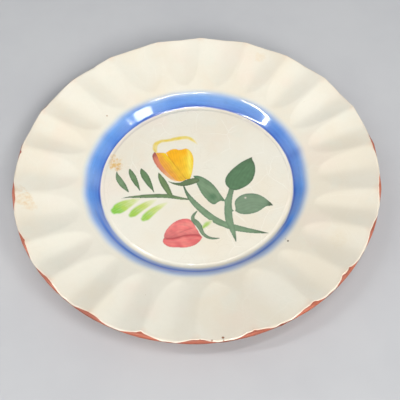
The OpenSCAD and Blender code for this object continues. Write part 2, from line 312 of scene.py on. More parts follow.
# ---- red clay body
rings = []
for r in (8, 40, 64, 67, 70, 73, 76, 79, 82, 86, 92, 100, 108, 114):
    rings.append(ring(r, clay_top(r) - 0.06))
for s in (-9, -6, -4, -2.6, -1.6, -0.9, -0.4, 0):
    r, z, nr, nz = clay_path(s)
    rings.append(ring(r, z))
for k in range(1, 9):
    r, z, nr, nz = clay_path(ARC_L * k / 8)
    rings.append(ring(r, z))
wall_top, wall_low = ARC_C[:, 1], LOW + 1.3
for k in range(1, 7):
    f = k / 6
    z = wall_top + (wall_low - wall_top) * f
    groove = 0.10 * np.sin(2 * np.pi * z / 1.3 + 2 * ring_noise(TH, 2, 8, 61)) * np.sin(np.pi * f) * (0.6 + 0.4 * ring_noise(TH, 5, 20, 62))
    rings.append(ring(WALL_R + groove, z))
_u = [(RIM_R - 0.4, LOW.mean() + 6), (RIM_R - 0.4, LOW.mean())]
NECK, ROOT, HEEL = (79.5, 10.6), (68.6, 4.0), (67.0, 0.75)
under = corner(_u[0], _u[1], NECK, 1.4, 7)
line = []


def add_line(a, b, step):
    n = max(1, int(round(math.hypot(b[0] - a[0], b[1] - a[1]) / (1.3 * step))))
    for i in range(1, n):
        line.append((a[0] + (b[0] - a[0]) * i / n, a[1] + (b[1] - a[1]) * i / n))


def add_points(pts, step):
    if line:
        add_line(line[-1], pts[0], step)
    line.extend(pts)


add_points(under, 2.0)
add_points(corner(_u[1], NECK, ROOT, 8, 8), 1.6)
add_points(corner(NECK, ROOT, HEEL, 1.4, 5), 1.6)
add_points(corner(ROOT, HEEL, (66.4, 0), 0.5, 3), 0.6)
add_points(corner(HEEL, (66.4, 0), (61.8, 0), 0.35, 3), 0.8)
add_points(corner((66.4, 0), (61.8, 0), (61.1, 0.7), 0.35, 3), 1.2)
add_points(corner((61.8, 0), (60.4, 3.0), (0, 3.0), 1.6, 6), 0.7)
add_points([(2.5, 3.0)], 2.4)
first_under = len(rings)
for n, (r, z) in enumerate(line):
    r, z = float(r), float(z)
    jig = smoothstep(124.5, 121, r) * smoothstep(80, 84, r)
    turning = 0.09 * math.sin(2 * math.pi * r / 4.3) + 0.05 * math.sin(2 * math.pi * r / 1.9 + 1)
    zz = z + jig * (turning + 0.12 * noise2(r * COS, r * SIN, 30, 71))
    inner = smoothstep(59, 56, r)
    spiral = 0.10 * np.sin(2 * np.pi * r / 5.2 + TH) * smoothstep(3, 9, r)
    zz = zz + inner * (spiral + 0.08 * noise2(r * COS, r * SIN, 22, 72) + 0.10)
    rw = (WALL_R - (RIM_R - 0.4)) * smoothstep(118, 126, r)
    zw = (LOW - LOW.mean()) * smoothstep(110, 124, r) + 0.5 * (warp(np.full(NC, 120.0), TH)) * smoothstep(84, 118, r) * smoothstep(126.6, 121, r)
    rings.append(ring(r + rw, zz + zw))
clay, co = loft("red_clay_body", rings, cap_first=(0, 0, float(rings[0][:, 2].mean())), cap_last=(0, 0, float(rings[-1][:, 2].mean())))

# ---- blue band, a film that fades into the cream at both edges
band_rows = np.concatenate([[65.0], ROWS_BAND])
rings, paint, suv = [], [], []
deg = np.degrees(TH)


def srgb(r, g, b):
    c = np.array([r, g, b], float) / 255
    return np.where(c <= 0.04045, c / 12.92, ((c + 0.055) / 1.055) ** 2.4)


BLUE_DEEP, BLUE, BLUE_PALE, BLUE_HAZE = srgb(40, 86, 184), srgb(70, 126, 214), srgb(98, 156, 230), srgb(150, 192, 232)
NEAR_SIDE = 0.9 * smoothstep(0.25, 0.85, -np.sin(TH + 0.09))
_at = [0, 45, 90, 135, 180, 205, 225, 270, 315, 338, 360]
in_edge = np.interp(deg, _at, [68.9, 68.6, 69.4, 68.6, 68.8, 69.8, 70.5, 70.8, 70.8, 69.8, 68.9])
out_mid = np.interp(deg, _at, [77.5, 78.4, 78.0, 78.9, 78.9, 78.7, 78.6, 78.1, 77.5, 77.5, 77.5])
in_edge = in_edge + 0.25 * ring_noise(TH, 3, 9, 81) + 0.12 * ring_noise(TH, 12, 50, 82)
out_mid = out_mid + 0.35 * ring_noise(TH, 2, 6, 83) + 0.35 * ring_noise(TH, 8, 26, 84)
overlap = np.exp(-(((deg - 13 + 180) % 360 - 180) / 3.2) ** 2)
out_mid = out_mid + 0.4 * overlap
# Painted light and shade: a colour gain for each angle round the band, making it lighter or darker by angle to stand in
# for how the lamps fall on its slope.
_g = [0, 30, 60, 90, 120, 150, 180, 210, 240, 300, 330, 360]
painted_light_gain = np.stack([np.interp(deg, _g, [1.26, 0.93, 1.12, 1.22, 1.08, 1.0, 1.15, 0.85, 1.0, 1.0, 1.2, 1.26]),
                 np.interp(deg, _g, [1.13, 0.93, 1.04, 1.05, 1.0, 1.01, 1.13, 0.98, 1.0, 1.0, 1.17, 1.13]),
                 np.interp(deg, _g, [1.06, 0.95, 0.92, 0.90, 0.92, 0.96, 1.07, 1.05, 1.0, 1.0, 1.1, 1.06])], -1)
for r in band_rows:
    x, y = r * COS, r * SIN
    fall = smoothstep(out_mid + 4.2, out_mid - 3.2, r)
    a = smoothstep(in_edge - 0.45, in_edge + 0.55, r) * fall
    # Nearest the viewer the band is drawn as a dark line with pale sides.
    bell = np.maximum(np.exp(-((r - 73.6) / 2.2) ** 2), 0.62 * smoothstep(in_edge - 1.6, in_edge + 0.8, r) * smoothstep(out_mid + 3.0, out_mid - 3.0, r))
    a = a * (1 - NEAR_SIDE) + bell * NEAR_SIDE
    a = a * (0.93 + 0.07 * ring_noise(TH, 3, 18, 85))
    streak = 0.5 + 0.5 * np.sin(r * 2.3 + 0.8 * ring_noise(TH, 2, 7, 86)) * (0.5 + 0.5 * ring_noise(TH, 2, 12, 87))
    f = smoothstep(in_edge + 0.6, out_mid + 1.0, r)[:, None]
    c = BLUE * (1 - f) + BLUE_PALE * f
    g = smoothstep(out_mid - 1.0, out_mid + 3.0, r)[:, None]
    c = c * (1 - g) + BLUE_HAZE * g
    dark = (1.0 * (1 - NEAR_SIDE) * np.exp(-((r - in_edge - 0.75) / 0.75) ** 2) + 0.55 * NEAR_SIDE * np.exp(-((r - 73.6) / 1.7) ** 2) + 0.30 * (streak - 0.5) * (1 - f[:, 0]) + 0.35 * overlap + 0.14 * noise2(x, y, 21, 88))
    # The pale sides are a lighter blue painted in as light, to offset the shade that falls on the near wall.
    side = (NEAR_SIDE * (1 - np.exp(-((r - 73.7) / 2.2) ** 2)))[:, None]
    c = c * (1 - 0.75 * side) + srgb(138, 200, 252) * 0.75 * side
    c = c * (1 + NEAR_SIDE[:, None] * np.array([-0.40, -0.12, 0.14])) * painted_light_gain
    dark = np.clip(dark, 0, 1)[:, None]
    c = c * (1 - dark) + BLUE_DEEP * dark
    rise = 0.06 * smoothstep(in_edge - 1.4, in_edge - 0.2, r) * smoothstep(np.minimum(out_mid + 4.8, 83.6), np.minimum(out_mid + 3.4, 82.4), r) - 0.02
    rings.append(ring(r, top(np.full(NC, r), TH) + rise))
    paint.append(np.concatenate([c, a[:, None]], 1))
    suv.append(np.stack([TH * 73, np.full(NC, r), np.full(NC, 5.0)], -1))
for r in (84.0, 80, 76, 73, 70, 65.0):
    rings.append(ring(r, top(np.full(NC, r), TH) - 0.25))
    paint.append(np.concatenate([np.tile(BLUE_PALE, (NC, 1)), np.zeros((NC, 1))], 1))
    suv.append(np.zeros((NC, 3)))
nr = len(rings)
co = np.array(rings).reshape(-1, 3)
i = np.arange(nr)[:, None] * NC
i2 = ((np.arange(nr) + 1) % nr)[:, None] * NC
j = np.arange(NC)[None, :]
k = (j + 1) % NC
last = (len(band_rows) - 1) * NC
band = new_object("blue_band_film", co, [np.stack([i + j, i2 + j, i2 + k, i + k], -1).reshape(-1, 4)],
                  crease=np.concatenate([np.stack([j[0], k[0]], -1), np.stack([last + j[0], last + k[0]], -1)]))
attribute(band, "paint", np.concatenate(paint), "FLOAT_COLOR")
attribute(band, "suv", np.concatenate(suv))

# ------------------------------------------------------------------ brush strokes (mm on the well's floor)


def smooth_line(p, n):
    p = np.asarray(p, float)
    m = len(p) - 1
    out = []
    for i in range(m):
        b, c = p[i], p[i + 1]
        a = p[i - 1] if i else 2 * b - c
        d = p[i + 2] if i + 2 <= m else 2 * c - b
        for t in np.arange(n) / n:
            out.append(0.5 * (2 * b + (c - a) * t + (2 * a - 5 * b + 4 * c - d) * t * t + (3 * b - a - 3 * c + d) * t ** 3))
    out.append(p[m])
    return np.array(out)


def resample(p, step, closed=True):
    q = np.vstack([p, p[:1]]) if closed else p
    d = np.concatenate([[0], np.cumsum(np.linalg.norm(np.diff(q[:, :2], axis=0), axis=1))])
    n = max(6, int(d[-1] / step))
    t = np.linspace(0, d[-1], n + (0 if closed else 1), endpoint=not closed)
    return np.stack([np.interp(t, d, q[:, i]) for i in range(q.shape[1])], 1)


class Stroke:
    """An outline with a spine. The spine gives each point a place along the brush and across it."""

    def __init__(self, outline, spine):
        self.outline = resample(np.asarray(outline, float)[:, :2], 0.38)
        self.spine = resample(smooth_line(np.asarray(spine, float)[:, :2], 8), 0.5, closed=False)

    @staticmethod
    def brush(p, ragged=0.0, seed=0):
        s = smooth_line(p, 10)
        t = np.gradient(s[:, :2], axis=0)
        t /= np.linalg.norm(t, axis=1)[:, None]
        nrm = np.stack([-t[:, 1], t[:, 0]], 1)
        w = np.maximum(s[:, 2:3], 0.15) / 2
        a, b = s[:, :2] + nrm * w, s[:, :2] - nrm * w
        # Round ends, as a brush leaves them.
        def cap(c, tan, n, w):
            if w < 0.5:
                return np.zeros((0, 2))
            f = np.linspace(0, np.pi, 9)[1:-1]
            return c + np.outer(np.cos(f), n) * w + np.outer(np.sin(f), tan) * w * 0.75
        end = cap(s[-1, :2], t[-1], nrm[-1], float(w[-1, 0]))
        start = cap(s[0, :2], -t[0], -nrm[0], float(w[0, 0]))
        return Stroke(np.vstack([a, end, b[::-1], start]), s)

    @staticmethod
    def fill(sides, spine):
        return Stroke(np.vstack([smooth_line(s, 8)[:-1] for s in sides]), spine)


def inside(poly, pts):
    x, y = pts[:, 0], pts[:, 1]
    c = np.zeros(len(pts), bool)
    n = len(poly)
    for i in range(n):
        x1, y1 = poly[i]
        x2, y2 = poly[(i + 1) % n]
        cond = (y1 > y) != (y2 > y)
        with np.errstate(divide="ignore", invalid="ignore"):
            xi = (x2 - x1) * (y - y1) / (y2 - y1) + x1
        c ^= cond & (x < xi)
    return c


def edge_distance(poly, pts):
    best = np.full(len(pts), 1e9)
    n = len(poly)
    for i in range(n):
        a, b = poly[i], poly[(i + 1) % n]
        ab = b - a
        t = np.clip(((pts - a) @ ab) / max(float(ab @ ab), 1e-9), 0, 1)
        best = np.minimum(best, np.linalg.norm(pts - a - t[:, None] * ab, axis=1))
    return best


def place(spine, pts):
    """Distance along the spine as 0 to 1, and signed distance across it in mm (left is positive)."""
    d = np.concatenate([[0], np.cumsum(np.linalg.norm(np.diff(spine, axis=0), axis=1))])
    near, s, v = np.full(len(pts), 1e9), np.zeros(len(pts)), np.zeros(len(pts))
    for i in range(len(spine) - 1):
        a, ab = spine[i], spine[i + 1] - spine[i]
        l = np.linalg.norm(ab)
        t = ((pts - a) @ ab) / (l * l)
        t = np.clip(t, 0 if i else -9, 1 if i < len(spine) - 2 else 9)
        off = pts - a - t[:, None] * ab
        dist = np.linalg.norm(off, axis=1)
        side = np.sign(ab[0] * off[:, 1] - ab[1] * off[:, 0])
        hit = dist < near
        near = np.where(hit, dist, near)
        s = np.where(hit, d[i] + t * l, s)
        v = np.where(hit, dist * side, v)
    return s / d[-1], v, float(d[-1])


def floor_z(x, y):
    return top(np.hypot(x, y), np.arctan2(y, x))


def film(name, stroke, colour, layer=0, step=0.5, soft=0.35):
    """A thin raised film in the stroke's outline. colour(x, y, s, v, e) gives linear RGB and cover for points with their
    distance s along the spine (0 to 1), v across it and e from the edge."""
    poly = stroke.outline
    lo, hi = poly.min(0), poly.max(0)
    gx = np.arange(lo[0], hi[0], step)
    gy = np.arange(lo[1], hi[1], step * 0.866)
    g = np.array([(x + (0.5 * step if r % 2 else 0), y) for r, y in enumerate(gy) for x in gx])
    g = g[inside(poly, g)]
    g = g[edge_distance(poly, g) > 0.24]
    rim2 = poly - 0
    pts = np.vstack([rim2, g])
    edges = [(i, (i + 1) % len(rim2)) for i in range(len(rim2))]
    v, e, f, ov, oe, of = geometry.delaunay_2d_cdt([Vector(p) for p in pts], edges, [], 1, 1e-5)
    v = np.array([(p.x, p.y) for p in v])
    tri = np.array([t for t in f if len(t) == 3], np.int32)
    c0 = v[tri].mean(1)
    tri = tri[inside(poly, c0)]
    used = np.unique(tri)
    remap = -np.ones(len(v), int)
    remap[used] = np.arange(len(used))
    v, tri = v[used], remap[tri]
    ed = edge_distance(poly, v)
    ed[ed < 1e-3] = 0
    s, cross, length = place(stroke.spine, v)
    h = 0.004 + 0.010 * layer + 0.030 * smoothstep(0, max(0.9, soft), ed)
    h = np.where(ed == 0, -0.006 + 0.010 * layer, h)
    z = floor_z(v[:, 0], v[:, 1])
    up = np.column_stack([v, z + h])
    down = np.column_stack([v, z - 0.2])
    n = len(v)
    # The skirt joins the two sheets along the edges that one triangle uses.
    und = {}
    for t in tri:
        for a, b in ((t[0], t[1]), (t[1], t[2]), (t[2], t[0])):
            und[(a, b)] = und.get((a, b), 0) + 1
    border = [(a, b) for (a, b) in und if (b, a) not in und]
    skirt = np.array([(a, n + a, n + b, b) for a, b in border], np.int32)
    ob = new_object(name, np.vstack([up, down]), [tri, tri[:, ::-1] + n, skirt], crease=border)
    rgb, cover = colour(v[:, 0], v[:, 1], s, cross, ed)
    fade = smoothstep(-0.02, soft, ed)
    # Where a stroke lies over one laid before it, its edge doesn't thin out to cream.
    for other in laid:
        q, q0, q1 = other.outline, other.outline.min(0) - 1, other.outline.max(0) + 1
        near = np.all((v >= q0) & (v <= q1), 1)
        if near.any():
            w = v[near]
            deep = np.where(inside(q, w), edge_distance(q, w), 0)
            fade[near] = np.maximum(fade[near], smoothstep(0.05, 0.35, deep))
    laid.append(stroke)
    cover = cover * fade
    pc = np.column_stack([np.clip(rgb * TINT[stroke.name], 0, 1), cover])
    attribute(ob, "paint", np.vstack([pc, pc * [1, 1, 1, 0]]), "FLOAT_COLOR")
    sv = np.column_stack([s * length, cross, ed])
    attribute(ob, "suv", np.vstack([sv, sv]))
    return ob


laid = []


def mixc(a, b, f):
    f = np.clip(np.asarray(f, float), 0, 1)[:, None]
    return a * (1 - f) + b * f


def flat(c, n):
    return np.tile(np.asarray(c, float), (n, 1))


def leaf_colour(mid, edge, deep, seed, tip=0.0, root=0.0, width=1.0, cover=0.97):
    """Paint that pools at the edges of the stroke and thins in its middle, as translucent underglaze colour does."""
    def f(x, y, s, v, e):
        n = noise2(x, y, 9, seed)
        c = mixc(flat(mid, len(x)), edge, 0.85 * np.exp(-(e / width) ** 1.5) + 0.12 * n)
        c = mixc(c, deep, tip * smoothstep(0.80, 1.0, s) + root * smoothstep(0.20, 0.0, s))
        streak = np.sin(v * 2.7 + 2.5 * noise2(x, y, 14, seed + 1)) * 0.04 + 0.05 * noise2(x, y, 5, seed + 2)
        return np.clip(c * (1 - streak[:, None]), 0, 1), np.full(len(x), cover)
    return f


G_DARK, G_DARK_E, G_DEEP = srgb(62, 118, 80), srgb(48, 94, 62), srgb(46, 80, 52)
G_MID, G_MID_E = srgb(98, 140, 104), srgb(66, 108, 76)
G_SAGE, G_SAGE_E = srgb(112, 150, 114), srgb(74, 118, 84)


def upper_leaf_c(x, y, s, v, e):
    c, a = leaf_colour(G_DARK, G_DARK_E, G_DEEP, 101, tip=0.55, width=1.1)(x, y, s, v, e)
    return c, a


def middle_leaf_c(x, y, s, v, e):
    c, a = leaf_colour(G_SAGE, G_SAGE_E, G_DARK, 111, tip=0.3, root=0.75, width=1.1)(x, y, s, v, e)
    spot = np.exp(-(((x - 11) ** 2 + (y + 14.5) ** 2) / 3.0 ** 2) ** 1.4)
    c = mixc(c, srgb(62, 114, 78), 0.75 * spot)
    return c, a


def right_leaf_c(x, y, s, v, e):
    c, a = leaf_colour(G_SAGE * 0.96, G_SAGE_E, G_DEEP, 121, tip=0.9, width=1.0)(x, y, s, v, e)
    c = mixc(c, srgb(72, 96, 66), 0.8 * smoothstep(3.4, 0.4, np.hypot(x - 52, y + 23.6)))
    fleck = np.exp(-((x - 34) ** 2 + (y + 16.5) ** 2) / 0.6 ** 2)
    return mixc(c, srgb(225, 226, 206), 0.95 * fleck), a


def middle_petal_c(x, y, s, v, e):
    n = noise2(x, y, 12, 131)
    up = smoothstep(4, 26, y + 1.5 * n)
    c = mixc(flat(srgb(243, 184, 58), len(x)), srgb(255, 172, 4), up)
    c = mixc(c, srgb(252, 206, 70), 0.75 * smoothstep(-12, -4.5, x + 0.15 * (y - 15)) * smoothstep(27, 20, y))
    c = mixc(c, srgb(255, 226, 128), 0.65 * np.exp(-((x + 4.2 + 0.02 * (y - 12)) / 1.5) ** 2) * smoothstep(3, 8, y))
    c = mixc(c, srgb(236, 178, 40), 0.75 * np.exp(-(e / 0.55) ** 2) * smoothstep(-13, -3, x))
    fold = -22 + (26.6 - y) * 0.56
    c = mixc(c, srgb(205, 120, 30), 0.55 * np.exp(-((x - fold) / 0.9) ** 2) * smoothstep(27, 20, y))
    c = mixc(c, srgb(214, 140, 40), 0.4 * smoothstep(5, 1, y))
    streak = 0.05 * np.sin((x + 0.25 * y) * 3.6 + n * 1.6) + 0.04 * noise2(x, y, 5, 132)
    return np.clip(c * (1 - streak[:, None]), 0, 1), np.full(len(x), 0.98)


def left_petal_c(x, y, s, v, e):
    n = noise2(x, y, 10, 141)
    c = mixc(flat(srgb(240, 168, 44), len(x)), srgb(251, 184, 26), smoothstep(8, 25, y + 1.2 * n))
    left = -30 + (27 - y) * 0.5
    c = mixc(c, srgb(238, 140, 62), 0.75 * smoothstep(6.5, 1.0, x - left - 1.2 + 0.6 * n))
    c = mixc(c, srgb(208, 118, 34), 0.35 * np.exp(-(e / 0.6) ** 2))
    streak = 0.06 * np.sin((x * 0.86 + y * 0.5) * 3.9 + n * 1.4) + 0.04 * noise2(x, y, 5, 142)
    return np.clip(c * (1 - streak[:, None]), 0, 1), np.full(len(x), 0.98)


def side_petal_c(x, y, s, v, e):
    n = noise2(x, y, 7, 151)
    c = mixc(flat(srgb(228, 104, 78), len(x)), srgb(238, 140, 88), smoothstep(0.35, 0.95, s))
    c = mixc(c, srgb(160, 62, 60), 0.9 * smoothstep(0.26, 0.02, s + 0.04 * n) + 0.45 * np.exp(-((v + 1.7) / 0.9) ** 2) * smoothstep(0.75, 0.3, s))
    c = mixc(c, srgb(240, 150, 60), 0.55 * smoothstep(0.6, 2.2, v) * smoothstep(0.15, 0.4, s))
    streak = 0.07 * np.sin(v * 5.0 + n) + 0.03 * n
    return np.clip(c * (1 - streak[:, None]), 0, 1), 0.97 - 0.25 * smoothstep(0.85, 1.0, s)


def crown_c(x, y, s, v, e):
    n = noise2(x, y, 6, 161)
    c = mixc(flat(srgb(236, 208, 84), len(x)), srgb(226, 194, 62), 0.6 * smoothstep(0.22, 0.0, s) + 0.5 * np.exp(-(e / 0.7) ** 2) + 0.25 * n)
    c = mixc(c, srgb(244, 222, 118), 0.45 * smoothstep(0.45, 0.7, s))
    a = smoothstep(0.0, 1.5, e) * (0.80 + 0.16 * n + 0.08 * np.sin(v * 4 + 3 * s)) * (1 - 0.25 * smoothstep(0.8, 1.0, s))
    return c, np.clip(a, 0, 0.95)


def cup_c(x, y, s, v, e):
    c, a = leaf_colour(srgb(76, 122, 86), srgb(54, 92, 62), G_DEEP, 171, root=0.85, width=0.9)(x, y, s, v, e)
    c = mixc(c, srgb(92, 136, 100), 0.35 * smoothstep(-8, -1, x) * smoothstep(0.2, 1.4, e))
    return c, a


def bud_c(seed, lower):
    def f(x, y, s, v, e):
        n = noise2(x, y, 11, seed)
        c = mixc(flat(srgb(222, 82, 88), len(x)), srgb(238, 108, 108), smoothstep(0.2, 1.0, 0.5 + 0.6 * n + 0.15 * np.sin(v * 3.1 + n)))
        if lower:
            c = mixc(c, srgb(214, 74, 82), 0.5 * smoothstep(-12, 0, x))
        else:
            c = mixc(c, srgb(196, 74, 80), 0.60 * smoothstep(-38.5, -44, y - 0.10 * (x + 12)))
            c = mixc(c, srgb(204, 92, 94), 0.5 * smoothstep(-12, -24, x) * smoothstep(-34, -42, y))
            c = mixc(c, srgb(244, 128, 124), 0.45 * np.exp(-((y + 35.5 - 0.05 * x) / 2.2) ** 2) * smoothstep(-20, -8, x))
        c = mixc(c, srgb(184, 58, 66), 0.75 * np.exp(-(e / 0.6) ** 1.6))
        fold = np.interp(x, [-24.2, -21.4, -18, -14, -10, -6, -2, 1.5], [-45.4, -46.4, -46.5, -45.6, -44.6, -44.3, -44.5, -45.2])
        if lower:
            c = mixc(c, srgb(240, 120, 118), 0.5 * np.exp(-((fold - y - 2.4) / 1.0) ** 2) * smoothstep(-22, -14, x))
        c = mixc(c, srgb(168, 44, 54), 0.8 * np.exp(-((y - fold - 0.1) / (0.55 if not lower else 0.8)) ** 2))
        if not lower:
            c = mixc(c, srgb(176, 56, 64), 0.45 * np.exp(-((y - fold - 3.4 - 0.25 * (x + 12)) / 0.5) ** 2) * smoothstep(-20, -14, x) * smoothstep(2, -6, x))
        streak = 0.035 * np.sin(v * 2.9 + 2.4 * n) + 0.05 * noise2(x, y, 4.5, seed + 1)
        return np.clip(c * (1 - streak[:, None]), 0, 1), np.full(len(x), 0.96)
    return f


def pale_c(seed, strong):
    def f(x, y, s, v, e):
        n = noise2(x, y, 6, seed)
        c = mixc(flat(srgb(180, 214, 104), len(x)), srgb(206, 224, 148), smoothstep(0.30, 0.9, s))
        c = mixc(c, srgb(126, 200, 66), strong * smoothstep(0.42, 0.10, s + 0.08 * n))
        a = smoothstep(0.0, 1.9, e) * (0.92 - 0.35 * smoothstep(0.35, 1.0, s) + 0.10 * n + 0.07 * np.sin(v * 3.4 + 2))
        a = a * (1 - 0.55 * smoothstep(0.8, 1.0, s))
        return c, np.clip(a, 0, 0.96)
    return f


